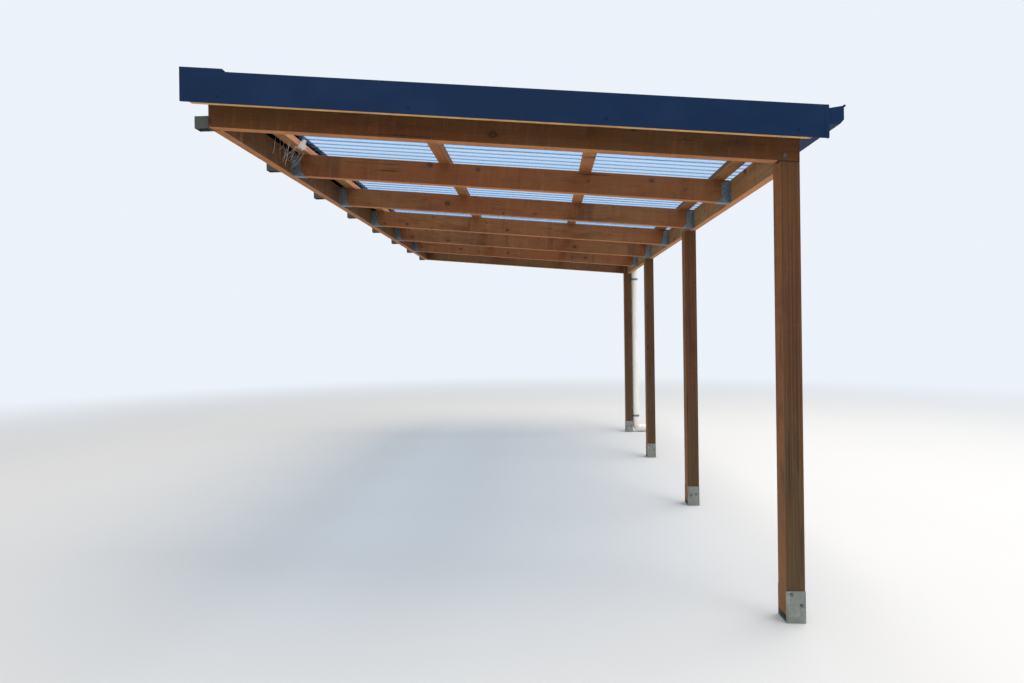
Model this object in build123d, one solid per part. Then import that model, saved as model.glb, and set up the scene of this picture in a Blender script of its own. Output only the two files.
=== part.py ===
from build123d import *
from math import ceil, cos, pi, radians, sin, tan
import os

# Lean-to timber pergola with a clear corrugated roof.
# A ledger on steel brackets carries the high ends of seven rafters. Their low ends meet a
# beam on four posts. The roof falls towards +X, where the gutter and the downpipe are. The
# front of the pergola faces -Y. The origin is the middle of the front post's foot, on the
# slab, and +Z is up. All sizes are in millimetres.

# Sawn timber
timber_thickness = 45.0
timber_depth = 140.0
post_width = 90.0
batten_width = 75.0
batten_thickness = 35.0

# Layout of the frame
bay_count = 6
rafter_spacing = 900.0
clear_span = 2755.0
beam_underside = 2160.0
fall_angle = 5.0
post_setback = 100.0
first_batten_inset = 80.0
batten_insets = (1822.0, 932.0, 110.0)
barge_overhang = 110.0
barge_rise = 72.0

# Post anchors, and the gap they keep below each post
anchor_plate = 5.0
anchor_height = 150.0
post_gap = 35.0
anchor_hole_radius = 6.5
anchor_hole_spacing = 50.0

# Folded hangers at the ends of the inner rafters
hanger_plate = 2.0
hanger_reach = 50.0
hanger_toe = 30.0
hanger_height = 126.0
hanger_flange = 32.0

# Brackets between the ledger and the wall that carries it
bracket_count = 8
bracket_standoff = 70.0
bracket_height = 60.0
bracket_width = 50.0
bracket_plate = 4.0

# Corrugated sheets
corrugation_pitch = 76.0
corrugation_depth = 17.0
corrugation_chords = 8
sheet_thickness = 1.2
sheet_corrugations = 10
sheet_side_gap = 58.0
sheet_past_ledger = 45.0
sheet_past_beam = 50.0
closure_width = 45.0
closure_chords = 6

# Flashings
flashing_thickness = 1.2
flashing_lip = 8.0
flashing_drip = 3.0
flashing_return = 16.0
barge_cap_width = 130.0
barge_past_ledger = 16.0
flashing_past_ledger = 49.0
flashing_past_beam = 62.0
apron_width = 205.0
apron_rise = 14.0
apron_back_drop = 60.0

# Gutter and its end caps
gutter_width = 138.0
gutter_thickness = 1.2
gutter_floor_width = 122.0
gutter_rise = 130.0
gutter_chamfer_height = 18.0
gutter_face_height = 80.0
gutter_back_height = 42.0
gutter_bead_radius = 5.0
gutter_end_inset = 22.0
end_cap_back_height = 62.0
end_cap_lip = 10.0

# Straps that carry the gutter
strap_width = 30.0
strap_plate = 3.0
strap_leg = 85.0

# Downpipe, its bend and spout, and its clips
pipe_radius = 45.0
pipe_wall = 3.0
outlet_wall = 2.0
outlet_length = 60.0
outlet_flange = 8.0
socket_depth = 50.0
bend_throat = 6.7
spout_reach = 113.0
spout_clearance = 6.7
lower_clip_height = 222.0
upper_clip_drop = 80.0
clip_plate = 2.0
clip_width = 25.0
clip_ear = 12.0

# Room left between pieces that rest on each other
seat_gap = 0.3

# Values that follow from the sizes above
slope = tan(radians(fall_angle))
steepness = cos(radians(fall_angle))
outer_face = post_width / 2
post_inner = -post_width / 2
front_face = -post_width / 2
beam_inner = outer_face - timber_thickness
ledger_inner = beam_inner - clear_span
ledger_outer = ledger_inner - timber_thickness
rear_rafter_front = front_face + bay_count * rafter_spacing
rear_face = rear_rafter_front + timber_thickness
rafter_top = timber_depth / steepness
batten_top = rafter_top + batten_thickness / steepness
barge_front = front_face - barge_overhang - timber_thickness
barge_back = rear_face + barge_overhang + timber_thickness
barge_top = barge_rise + timber_depth / steepness
cap_top = barge_top + flashing_thickness / steepness
sheet_seat = batten_top + seat_gap
sheet_crest = sheet_seat + (corrugation_depth + sheet_thickness) / steepness
sheeted_width = barge_back - barge_front - 2 * (timber_thickness + sheet_side_gap)
roof_corrugations = int(sheeted_width // corrugation_pitch)
sheet_step = sheet_corrugations - 1
sheet_count = ceil((roof_corrugations - 1) / sheet_step)
sheets_start = (front_face + rear_face - roof_corrugations * corrugation_pitch) / 2
post_fronts = (
    front_face,
    front_face + 2 * rafter_spacing + post_setback,
    front_face + 4 * rafter_spacing + post_setback,
    rear_face - post_width,
)
gutter_floor = beam_underside + gutter_rise
gutter_back = outer_face + strap_plate + seat_gap
gutter_face = outer_face + gutter_width
gutter_start = barge_front + gutter_end_inset
gutter_end = barge_back - gutter_end_inset
socket_radius = pipe_radius + seat_gap + pipe_wall
pipe_x = outer_face + socket_radius + seat_gap
pipe_y = post_fronts[3] + post_width / 2
bend_radius = socket_radius + bend_throat
spout_height = socket_radius + spout_clearance
bend_top = spout_height + bend_radius
spout_x = pipe_x + bend_radius


def roof_z(x, above=0.0):
    """Height at x of a line that runs with the rafters' undersides, or above them."""
    return beam_underside + slope * (outer_face - x) + above


def block(x0, x1, y0, y1, z0, z1):
    """Square block between two corners."""
    size = Box(x1 - x0, y1 - y0, z1 - z0, align=(Align.MIN, Align.MIN, Align.MIN))
    return Pos(x0, y0, z0) * size


def upright(radius, x, y, z0, z1):
    """Upright cylinder about the axis at x and y."""
    rod = Cylinder(radius, z1 - z0, align=(Align.CENTER, Align.CENTER, Align.MIN))
    return Pos(x, y, z0) * rod


def along_y(points, y0, y1):
    """Closed outline in X and Z, carried from y0 to y1."""
    outline = Polygon(*points, align=None)
    return Pos(0, y1, 0) * (Rot(90, 0, 0) * extrude(outline, y1 - y0, dir=(0, 0, 1)))


def down_the_fall(points, x0, y0, above, length):
    """Closed outline in Y and Z, carried down the fall from x0, with square ends."""
    outline = Plane.YZ * Polygon(*points, align=None)
    run = extrude(outline, length, dir=(1, 0, 0))
    return Pos(x0, y0, roof_z(x0, above)) * (Rot(0, fall_angle, 0) * run)


def sloping_board(x0, x1, y0, y1, low, high):
    """Board that runs with the fall, with plumb ends."""
    corners = [
        (x0, roof_z(x0, low)),
        (x1, roof_z(x1, low)),
        (x1, roof_z(x1, high)),
        (x0, roof_z(x0, high)),
    ]
    return along_y(corners, y0, y1)


def rafter(number):
    """Rafter number 1 is the front one, and the last closes the rear."""
    y0 = front_face + (number - 1) * rafter_spacing
    at_end = number in (1, bay_count + 1)
    x0 = ledger_outer if at_end else ledger_inner
    x1 = outer_face if at_end else beam_inner
    return sloping_board(x0, x1, y0, y0 + timber_thickness, 0, rafter_top)


def ledger():
    """Board on edge between the two end rafters, its foot level with the rafters' feet."""
    foot = roof_z(ledger_inner)
    y0 = front_face + timber_thickness
    return block(ledger_outer, ledger_inner, y0, rear_rafter_front, foot, foot + timber_depth)


def outer_beam():
    """Board on edge on the posts, flush with their outer faces."""
    y0 = front_face + timber_thickness
    top = beam_underside + timber_depth
    return block(beam_inner, outer_face, y0, rear_rafter_front, beam_underside, top)


def post(number):
    """Post with its head cut for what it carries.

    A middle post is cut square under the beam. An end post is cut for the end rafter on
    its open face and for the beam on its outer face, so a quarter of it stands on.
    """
    y0 = post_fronts[number - 1]
    shaft = block(post_inner, outer_face, y0, y0 + post_width, post_gap, beam_underside)
    if 1 < number < len(post_fronts):
        return shaft
    rafter_y0 = front_face if number == 1 else rear_rafter_front
    inner_y0 = rafter_y0 + timber_thickness if number == 1 else y0
    inner_y1 = y0 + post_width if number == 1 else rafter_y0
    wedge = [(post_inner, beam_underside), (outer_face, beam_underside), (post_inner, roof_z(post_inner))]
    under_rafter = along_y(wedge, rafter_y0, rafter_y0 + timber_thickness)
    head = sloping_board(post_inner, beam_inner, inner_y0, inner_y1, -timber_depth, rafter_top)
    return shaft + under_rafter + head


def post_anchor(number):
    """Folded stirrup: a foot on the slab and a plate up the front and rear of the post."""
    y0 = post_fronts[number - 1]
    y1 = y0 + post_width
    t = anchor_plate
    shape = block(post_inner, outer_face, y0 - t, y1 + t, 0, t)
    shape += block(post_inner, outer_face, y0 - t, y0, 0, anchor_height)
    shape += block(post_inner, outer_face, y1, y1 + t, 0, anchor_height)
    for side in (-1, 1):
        shape -= upright(anchor_hole_radius, side * anchor_hole_spacing / 2, (y0 + y1) / 2, -t, 2 * t)
    return shape


def batten(number):
    """Flat batten across all rafters, number 1 next to the ledger."""
    if number == 1:
        middle = ledger_inner + first_batten_inset
    else:
        middle = outer_face - batten_insets[number - 2]
    half = batten_width / 2 * steepness
    lean = batten_thickness * sin(radians(fall_angle))
    x0 = middle - half
    x1 = middle + half
    corners = [
        (x0, roof_z(x0, rafter_top)),
        (x1, roof_z(x1, rafter_top)),
        (x1 + lean, roof_z(x1 + lean, batten_top)),
        (x0 + lean, roof_z(x0 + lean, batten_top)),
    ]
    return along_y(corners, barge_front + timber_thickness, barge_back - timber_thickness)


def barge_board(at_front):
    """Board on edge across the ends of the battens."""
    y0 = barge_front if at_front else barge_back - timber_thickness
    x0 = ledger_outer - barge_past_ledger
    return sloping_board(x0, outer_face, y0, y0 + timber_thickness, barge_rise, barge_top)


def barge_flashing(at_front):
    """Folded capping over the barge board.

    It has a lip below the board, its face, its top and a leg down to the sheets. At the
    low end the face is doubled by a narrow band and folded back beside the gutter.
    """
    x0 = ledger_outer - flashing_past_ledger
    x1 = outer_face + flashing_past_beam
    t = flashing_thickness
    face = barge_front if at_front else barge_back
    inward = 1 if at_front else -1
    low = barge_rise - flashing_drip
    leg_foot = sheet_crest + seat_gap + sheet_thickness

    def strip(xa, xb, a, b, z0, z1):
        ya, yb = sorted((face + inward * a, face + inward * b))
        return sloping_board(xa, xb, ya, yb, z0, z1)

    shape = strip(x0, x1, -t, 0, low, cap_top)
    shape += strip(x0, x1, -t, flashing_lip, low - t, low)
    shape += strip(x0, x1, -t, barge_cap_width, barge_top, cap_top)
    shape += strip(x0, x1, barge_cap_width - t, barge_cap_width, leg_foot, cap_top)
    shape += strip(x1 - flashing_return, x1 + t, -2 * t, -t, low - t, cap_top)
    shape += strip(x1, x1 + t, -2 * t, flashing_return, low - t, cap_top)
    return shape


def apron_flashing():
    """Folded cover over the high ends of the sheets and over the two barge cappings."""
    t = flashing_thickness
    x0 = ledger_outer - flashing_past_ledger
    x1 = x0 + apron_width
    top = barge_top + apron_rise
    y0 = barge_front - t
    y1 = barge_back + t
    inner_y0 = barge_front + barge_cap_width + seat_gap
    inner_y1 = barge_back - barge_cap_width - seat_gap
    low = sheet_crest + sheet_thickness + 2 * seat_gap
    over_cap = cap_top + seat_gap
    shape = sloping_board(x0, x1, y0, y1, top, top + t)
    shape += sloping_board(x0, x0 + t, y0, y1, over_cap, top)
    shape += sloping_board(x1 - t, x1, y0, y1, over_cap, top)
    shape += sloping_board(x1 - t, x1, inner_y0, inner_y1, low, top)
    shape += sloping_board(x0, x0 + t, inner_y0, inner_y1, top - apron_back_drop, top)
    shape += sloping_board(x0, x1, y0, y0 + t, over_cap, top)
    shape += sloping_board(x0, x1, y1 - t, y1, over_cap, top)
    return shape


def wave_height(y):
    """Height of a corrugation above its valley, as a cosine whose valleys are at whole pitches."""
    return corrugation_depth / 2 * (1 - cos(2 * pi * y / corrugation_pitch))


def roof_sheet(number):
    """Corrugated sheet that runs down the fall, one corrugation over the next sheet.

    Every second sheet lies over its neighbours. The last is cut to the roof's width.
    """
    first = (number - 1) * sheet_step
    count = min(sheet_corrugations, roof_corrugations - first)
    chord = corrugation_pitch / corrugation_chords
    steps = [index * chord for index in range(count * corrugation_chords + 1)]
    lower = [(y, wave_height(y)) for y in steps]
    upper = [(y, wave_height(y) + sheet_thickness) for y in reversed(steps)]
    x0 = ledger_outer - sheet_past_ledger
    length = (outer_face + sheet_past_beam - x0) / steepness
    lift = 0.0 if number % 2 else sheet_thickness + seat_gap
    y0 = sheets_start + first * corrugation_pitch
    return down_the_fall(lower + upper, x0, y0, sheet_seat + lift, length)


def closure_strip():
    """Foam humps on the first batten, one below each crest of the sheets."""
    chord = corrugation_pitch / closure_chords
    steps = [index * chord for index in range(1, closure_chords)]
    outline = [(steps[0], 0.0)]
    outline += [(y, wave_height(y) - seat_gap) for y in steps]
    outline += [(steps[-1], 0.0)]
    x0 = ledger_inner + first_batten_inset - closure_width / 2
    humps = []
    for index in range(roof_corrugations):
        y0 = sheets_start + index * corrugation_pitch
        humps.append(down_the_fall(outline, x0, y0, batten_top, closure_width))
    return Compound(humps)


def hanger(x_face, y_middle, towards):
    """Folded hanger on a face at x_face. The rafter leaves it in the direction towards.

    Its seat is longer than its sides, so each side ends in a sloping toe. Two flanges lie
    on the face that carries it.
    """
    t = hanger_plate
    half = timber_thickness / 2
    seat_end = x_face + towards * (hanger_reach + hanger_toe)
    side_end = x_face + towards * hanger_reach
    x0, x1 = sorted((x_face, seat_end))
    shape = sloping_board(x0, x1, y_middle - half - t, y_middle + half + t, -t, 0)
    side_outline = [
        (x_face, roof_z(x_face, -t)),
        (seat_end, roof_z(seat_end, -t)),
        (seat_end, roof_z(seat_end)),
        (side_end, roof_z(side_end, hanger_toe)),
        (side_end, roof_z(side_end, hanger_height)),
        (x_face, roof_z(x_face, hanger_height)),
    ]
    flange_x0, flange_x1 = sorted((x_face, x_face + towards * t))
    foot = roof_z(flange_x1, -t)
    for side in (-1, 1):
        ya, yb = sorted((y_middle + side * half, y_middle + side * (half + t)))
        shape += along_y(side_outline, ya, yb)
        yc, yd = sorted((y_middle + side * half, y_middle + side * (half + hanger_flange)))
        shape += block(flange_x0, flange_x1, yc, yd, foot, foot + hanger_height)
    return shape


def hangers(x_face, towards):
    """One hanger for each rafter that ends between the ledger and the beam."""
    found = []
    for number in range(2, bay_count + 1):
        y_middle = front_face + (number - 1) * rafter_spacing + timber_thickness / 2
        found.append(hanger(x_face, y_middle, towards))
    return Compound(found)


def ledger_brackets():
    """Square folded brackets that hold the ledger and the end rafters off the wall."""
    foot = roof_z(ledger_inner)
    top = foot + bracket_height
    pitch = (rear_face - front_face - bracket_width) / (bracket_count - 1)
    x0 = ledger_outer - bracket_standoff
    x1 = ledger_outer
    t = bracket_plate
    found = []
    for index in range(bracket_count):
        y0 = front_face + index * pitch
        y1 = y0 + bracket_width
        outer = block(x0, x1, y0, y1, foot, top)
        found.append(outer - block(x0 + t, x1 - t, y0 + t, y1 - t, foot, top))
    return Compound(found)


def gutter_outline(inset, back_height):
    """Corners of the gutter's section from its back edge round to its front edge."""
    floor = gutter_floor + inset
    return [
        (gutter_back + inset, gutter_floor + back_height),
        (gutter_back + inset, floor),
        (outer_face + gutter_floor_width - inset / 2, floor),
        (gutter_face - inset, gutter_floor + gutter_chamfer_height),
        (gutter_face - inset, gutter_floor + gutter_face_height),
    ]


def gutter():
    """Folded channel with a rolled bead along its high front edge."""
    outside = gutter_outline(0, gutter_back_height)
    inside = gutter_outline(gutter_thickness, gutter_back_height)
    channel = along_y(outside + inside[::-1], gutter_start, gutter_end)
    bead = Cylinder(gutter_bead_radius, gutter_end - gutter_start)
    bead_x = gutter_face + gutter_bead_radius - gutter_thickness
    bead_z = gutter_floor + gutter_face_height
    bead = Pos(bead_x, (gutter_start + gutter_end) / 2, bead_z) * (Rot(90, 0, 0) * bead)
    floor_top = gutter_floor + gutter_thickness
    hole = upright(pipe_radius - pipe_wall, pipe_x, pipe_y, gutter_floor - seat_gap, floor_top + seat_gap)
    return channel + bead - hole


def gutter_end_caps():
    """Flat caps on the gutter's ends, higher at the back, with a lip inside the channel."""
    t = gutter_thickness
    outline = gutter_outline(0, end_cap_back_height)
    rim_outside = gutter_outline(t + seat_gap, gutter_back_height)
    rim_inside = gutter_outline(2 * t + seat_gap, gutter_back_height)
    rim = rim_outside + rim_inside[::-1]
    front = along_y(outline, gutter_start - t, gutter_start)
    front += along_y(rim, gutter_start - t, gutter_start + end_cap_lip)
    rear = along_y(outline, gutter_end, gutter_end + t)
    rear += along_y(rim, gutter_end - end_cap_lip, gutter_end + t)
    return Compound([front, rear])


def gutter_straps():
    """Folded straps: a leg down the beam's outer face and an arm under the gutter."""
    t = strap_plate
    arm_top = gutter_floor - seat_gap
    leg_top = gutter_floor + gutter_back_height
    arm_end = outer_face + gutter_floor_width
    found = []
    for number in range(1, bay_count + 1):
        y0 = front_face + (number - 0.5) * rafter_spacing
        y1 = y0 + strap_width
        leg = block(outer_face, outer_face + t, y0, y1, arm_top - strap_leg, leg_top)
        arm = block(outer_face, arm_end, y0, y1, arm_top - t, arm_top)
        found.append(leg + arm)
    return Compound(found)


def gutter_outlet():
    """Flanged spigot that drops through the gutter's floor into the downpipe."""
    seat = gutter_floor + gutter_thickness + seat_gap
    radius = pipe_radius - pipe_wall - seat_gap
    flange = upright(radius + outlet_flange, pipe_x, pipe_y, seat, seat + outlet_wall)
    wall_side = gutter_back + gutter_thickness + seat_gap
    reach = radius + outlet_flange
    keep = block(wall_side, pipe_x + reach, pipe_y - reach, pipe_y + reach, seat, seat + outlet_wall)
    spigot = upright(radius, pipe_x, pipe_y, gutter_floor - outlet_length, seat + outlet_wall)
    bore_top = seat + 2 * outlet_wall
    bore_foot = gutter_floor - outlet_length - outlet_wall
    bore = upright(radius - outlet_wall, pipe_x, pipe_y, bore_foot, bore_top)
    return (flange & keep) + spigot - bore


def tube(outer_radius, inner_radius, z0, z1):
    """Upright tube on the downpipe's axis."""
    outer = upright(outer_radius, pipe_x, pipe_y, z0, z1)
    return outer - upright(inner_radius, pipe_x, pipe_y, z0, z1)


def spout_length(outer_radius, inner_radius, length):
    """Level tube on the spout's axis, from the end of the bend outwards."""
    ring = Circle(outer_radius) - Circle(inner_radius)
    mouth = Plane(origin=(spout_x, pipe_y, spout_height), z_dir=(1, 0, 0))
    return extrude(mouth * ring, length)


def downpipe():
    """Round pipe from the gutter's floor down to the bend, and the short spout that leaves it."""
    bore = pipe_radius - pipe_wall
    pipe = tube(pipe_radius, bore, bend_top + seat_gap, gutter_floor - seat_gap)
    spout = Pos(seat_gap, 0, 0) * spout_length(pipe_radius, bore, spout_reach - seat_gap)
    return Compound([pipe, spout])


def downpipe_bend():
    """Bend that turns the water out to +X near the slab, with a socket for the pipe at each end."""
    bore = pipe_radius + seat_gap
    ring = Circle(socket_radius) - Circle(bore)
    turn_axis = Axis((spout_x, pipe_y, bend_top), (0, -1, 0))
    bend = revolve(Plane.XY.offset(bend_top) * Pos(pipe_x, pipe_y) * ring, turn_axis, 90)
    upper_socket = tube(socket_radius, bore, bend_top, bend_top + socket_depth)
    return bend + upper_socket + spout_length(socket_radius, bore, socket_depth)


def downpipe_clips():
    """Two folded clips that hold the pipe to the rear post."""
    t = clip_plate
    inner_radius = pipe_radius + seat_gap
    ear = pipe_radius + clip_ear
    found = []
    for height in (lower_clip_height, beam_underside - upper_clip_drop):
        z0 = height - clip_width / 2
        z1 = height + clip_width / 2
        ring = tube(inner_radius + t, inner_radius, z0, z1)
        plate = block(outer_face, outer_face + t, pipe_y - ear, pipe_y + ear, z0, z1)
        found.append(ring + plate)
    return Compound(found)


def save(shape, node):
    """Write one node, under its own name."""
    export_step(shape, f"parts/{node}.step")


def main():
    os.makedirs("parts", exist_ok=True)
    save(ledger(), "ledger")
    save(outer_beam(), "outer_beam")
    end_names = {1: "front_rafter", bay_count + 1: "rear_rafter"}
    for number in range(1, bay_count + 2):
        save(rafter(number), end_names.get(number, f"rafter_{number}"))
    for number in range(1, len(batten_insets) + 2):
        save(batten(number), f"batten_{number}")
    for number in range(1, len(post_fronts) + 1):
        save(post(number), f"post_{number}")
        save(post_anchor(number), f"post_anchor_{number}")
    save(barge_board(True), "front_barge_board")
    save(barge_board(False), "rear_barge_board")
    save(barge_flashing(True), "front_barge_flashing")
    save(barge_flashing(False), "rear_barge_flashing")
    save(apron_flashing(), "apron_flashing")
    for number in range(1, sheet_count + 1):
        save(roof_sheet(number), f"roof_sheet_{number}")
    save(closure_strip(), "closure_strip")
    save(hangers(ledger_inner, 1), "ledger_hangers")
    save(hangers(beam_inner, -1), "beam_hangers")
    save(ledger_brackets(), "ledger_brackets")
    save(gutter(), "gutter")
    save(gutter_end_caps(), "gutter_end_caps")
    save(gutter_straps(), "gutter_straps")
    save(downpipe(), "downpipe")
    save(gutter_outlet(), "gutter_outlet")
    save(downpipe_bend(), "downpipe_bend")
    save(downpipe_clips(), "downpipe_clips")


main()
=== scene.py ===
"""Finishes, fixings, roof sheets and studio for the lean-to timber pergola.

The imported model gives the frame. This file adds the smooth roof sheets, the small fixings and
the materials, and then sets the lamps and the camera. All lengths are in metres.
"""

import math
from functools import cached_property

import bmesh
import bpy
import numpy as np
from bpy.props import FloatProperty, FloatVectorProperty, IntProperty, PointerProperty
from mathutils import Matrix, Vector


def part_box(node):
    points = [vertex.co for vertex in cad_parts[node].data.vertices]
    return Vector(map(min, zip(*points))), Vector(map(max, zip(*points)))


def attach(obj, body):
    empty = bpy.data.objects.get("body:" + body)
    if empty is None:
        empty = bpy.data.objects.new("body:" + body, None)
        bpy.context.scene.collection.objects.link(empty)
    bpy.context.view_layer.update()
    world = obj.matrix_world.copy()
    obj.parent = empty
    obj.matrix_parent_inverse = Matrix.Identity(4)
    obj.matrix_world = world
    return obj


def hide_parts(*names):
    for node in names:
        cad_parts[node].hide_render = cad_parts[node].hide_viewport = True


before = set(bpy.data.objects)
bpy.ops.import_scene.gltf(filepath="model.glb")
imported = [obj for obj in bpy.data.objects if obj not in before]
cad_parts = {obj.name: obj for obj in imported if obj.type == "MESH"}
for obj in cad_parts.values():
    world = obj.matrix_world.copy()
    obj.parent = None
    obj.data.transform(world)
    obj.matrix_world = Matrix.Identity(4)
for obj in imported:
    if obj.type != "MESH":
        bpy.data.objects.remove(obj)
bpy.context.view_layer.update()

bl_info = {
    "name": "Lean-to Pergola Finishes",
    "version": (1, 0, 0),
    "blender": (4, 5, 0),
    "location": "3D View > Sidebar > Pergola",
    "description": "Roof sheets, fixings and finishes for a lean-to timber pergola",
    "category": "Object",
}

# Layout that the frame's boxes don't say
FALL = math.radians(5)
BAYS = 6
INNER_RAFTERS = [f"rafter_{n}" for n in range(2, BAYS + 1)]
BATTENS = range(1, 5)
POSTS = range(1, 5)
TIMBER_THICKNESS = 0.045
TIMBER_DEPTH = 0.140
BATTEN_WIDTH = 0.075
BATTEN_THICKNESS = 0.035
POST_WIDTH = 0.090
SHEET_PITCH = 0.076
SHEET_DEPTH = 0.017
SHEET_THICKNESS = 0.0012

# Depth below a timber's face at which the colour of that face starts to go, and is gone
SKIN_OUT = 0.0004
SKIN_IN = 0.0012

# Seed of the first timber's stain, less one
STAIN_SEED = 100

# Colour of an open crack or joint
OPEN_SEAM = (0.010, 0.005, 0.003)

# Directions that fixings look in
TO_FRONT = Vector((0, -1, 0))
TO_REAR = Vector((0, 1, 0))
TO_GUTTER = Vector((1, 0, 0))
TO_HOUSE = Vector((-1, 0, 0))
OFF_ROOF = Vector((math.sin(FALL), 0, math.cos(FALL)))

# Places (x, z) of the bolts through the even and the odd post anchors
ANCHOR_BOLTS = (
    ((-0.019, 0.081), (0.020, 0.089)),
    ((-0.020, 0.134), (0.026, 0.084)),
)

# Cobweb's threads
COBWEB_SEED = 7
CORNER_THREADS = 22
BUNDLE_THREADS = 46

# Photograph's frame and the camera that took it
FRAME_WIDTH = 1024
FRAME_HEIGHT = 683
FOCAL_PIXELS = 598.2
HORIZON_ROW = 331.8
SENSOR_WIDTH = 36.0
CAMERA_PLACE = (-1.1700, -2.9123, 1.3806)
CAMERA_YAW = 0.05064
CAMERA_PITCH = 0.00051
CAMERA_ROLL = -0.01266


def swatch(name, description, default):
    """Colour that a user may change, in linear light."""
    settings = {"min": 0, "max": 1, "size": 3, "subtype": "COLOR"}
    return FloatVectorProperty(name=name, description=description, default=default, **settings)


def measure(name, description, default):
    """Length in metres that a user may change."""
    return FloatProperty(name=name, description=description, default=default, min=0, unit="LENGTH")


def amount(name, description, default):
    """Plain number from 0 up that a user may change."""
    return FloatProperty(name=name, description=description, default=default, min=0)


def step_count(name, description, default, least, most):
    """Whole number of mesh steps that a user may change."""
    return IntProperty(name=name, description=description, default=default, min=least, max=most)


class PergolaTimber(bpy.types.PropertyGroup):
    """Look of the stained pine."""

    front_stain: swatch("Front stain", "Dark stain of the two end rafters", (0.112, 0.046, 0.012))
    rafter_stain: swatch("Rafter stain", "Red-brown stain of the inner rafters", (0.178, 0.071, 0.023))
    beam_stain: swatch("Beam stain", "Olive-brown stain of the outer beam", (0.235, 0.132, 0.052))
    ledger_stain: swatch("Ledger stain", "Brown stain of the ledger", (0.108, 0.050, 0.017))
    post_stain: swatch("Post stain", "Brown stain of the posts", (0.104, 0.054, 0.024))
    batten_stain: swatch("Batten stain", "Stain of the battens", (0.190, 0.088, 0.028))
    # Painted light: the next three colours stand in for light, not for the wood's own colour. The first two
    # are painted bounce light, the orange that a pale floor throws up on the undersides and on the posts'
    # faces towards the house, paler under the barge boards and the first batten. The third is painted
    # sunlight on the first batten's edge towards the gutter.
    bounce_lit_wood: swatch("Sheltered wood", "Orange of the faces that see no rain", (0.370, 0.135, 0.036))
    pale_bounce_lit_wood: swatch("Pale sheltered wood", "Tan under barge and first batten", (0.500, 0.300, 0.130))
    sunlit_batten_edge: swatch("Salmon edge", "First batten's edge towards the gutter", (0.560, 0.225, 0.115))
    dark_grain: swatch("Dark grain", "Colour of late wood and knots", (0.040, 0.015, 0.007))
    # This pale colour of thin stain also paints the arris line, which is partly worn stain and partly a
    # painted highlight.
    worn_wood_and_highlight: swatch("Worn wood", "Colour where the stain is thin", (0.420, 0.235, 0.125))
    ring_width: measure("Ring width", "Width of one growth ring", 0.0062)
    knot_radius: measure("Knot radius", "Radius of the largest knots", 0.016)
    # Width of the arris line, partly worn stain and partly painted highlight.
    arris_wear_and_highlight: measure("Arris wear", "Width of the pale line along each arris", 0.0035)
    arris_round: measure("Arris round", "Radius that the sawn edges are eased by", 0.0020)


class PergolaMetal(bpy.types.PropertyGroup):
    """Look of the sheet steel, the galvanised fittings and the brackets."""

    coated: swatch("Coated steel", "Dark blue coating of flashings and gutter", (0.0032, 0.0160, 0.0500))
    galvanised: swatch("Galvanised steel", "Grey of the anchors and the roof screws", (0.165, 0.178, 0.162))
    weathered: swatch("Weathered zinc", "Grey of hangers, straps, clips and bolts", (0.118, 0.148, 0.165))
    # Painted shade: this near black stands in for the shade under the apron flashing and along its leg.
    apron_shade: swatch("Backing coat", "Dark coat below the apron flashing", (0.0020, 0.0024, 0.0036))
    bracket: swatch("Bracket steel", "Dark paint of the wall brackets", (0.035, 0.037, 0.032))
    dust: swatch("Dust", "Pale dust on the sheet steel", (0.300, 0.290, 0.260))


class PergolaSheets(bpy.types.PropertyGroup):
    """Look and mesh of the clear corrugated sheets."""

    tint: swatch("Tint", "Colour of what shows through one surface", (0.795, 0.880, 0.962))
    # The valleys' colour is partly dust and partly painted shade, in stripes along the ribs.
    haze: swatch("Haze", "Colour of the sheet's own surface", (0.400, 0.570, 0.830))
    valley_dust_and_shade: swatch("Valley dirt", "Colour of the valleys, where dust lies", (0.055, 0.085, 0.140))
    haze_share: FloatProperty(
        name="Haze share",
        description="Share of the surface that hides what is behind",
        default=0.05,
        min=0,
        max=1,
        subtype="FACTOR",
    )
    steps_across: step_count("Steps across", "Mesh steps over one corrugation", 16, 8, 32)
    steps_down: step_count("Steps down", "Mesh steps down the fall", 24, 2, 64)
    waviness: measure("Waviness", "How far the sheets stray from straight", 0.0006)


class PergolaFixings(bpy.types.PropertyGroup):
    """Sizes of the small fixings."""

    bolt_head: measure("Bolt head", "Radius over the corners of a bolt head", 0.0072)
    bolt_washer: measure("Bolt washer", "Radius of the washer below a bolt head", 0.0098)
    coach_head: measure("Post bolt head", "Radius over the corners of the post bolts", 0.0085)
    coach_washer: measure("Post bolt washer", "Radius of the washer below a post bolt", 0.0115)
    screw_head: measure("Screw head", "Radius over the corners of a sheet screw's head", 0.0046)
    screw_flange: measure("Screw flange", "Radius of a sheet screw's flange", 0.0072)
    roof_washer: measure("Roof washer", "Radius of a roof screw's domed washer", 0.0125)
    nail_head: measure("Nail head", "Radius of a hanger nail's head", 0.0036)
    rivet_head: measure("Rivet head", "Radius of a gutter rivet's head", 0.0042)


class PergolaStage(bpy.types.PropertyGroup):
    """Plain studio round the pergola."""

    floor: swatch("Floor", "Colour of the floor as the camera sees it", (0.470, 0.470, 0.470))
    bounce: swatch("Bounce", "Colour of the floor as it lights the part", (0.820, 0.800, 0.770))
    backdrop: swatch("Backdrop", "Colour that the camera sees behind the part", (0.840, 0.890, 0.950))
    surround: swatch("Surround", "Colour of the light from all round", (0.930, 0.960, 1.000))
    surround_strength: amount("Surround strength", "Strength of the light from all round", 0.62)
    key_power: amount("Key lamp", "Power of the large lamp overhead", 3200.0)
    fill_power: amount("Fill lamp", "Power of the front lamp", 900.0)
    fade_start: measure("Fade start", "Distance at which the floor starts to fade", 4.5)
    fade_end: measure("Fade end", "Distance at which the floor is the backdrop", 14.0)


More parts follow.
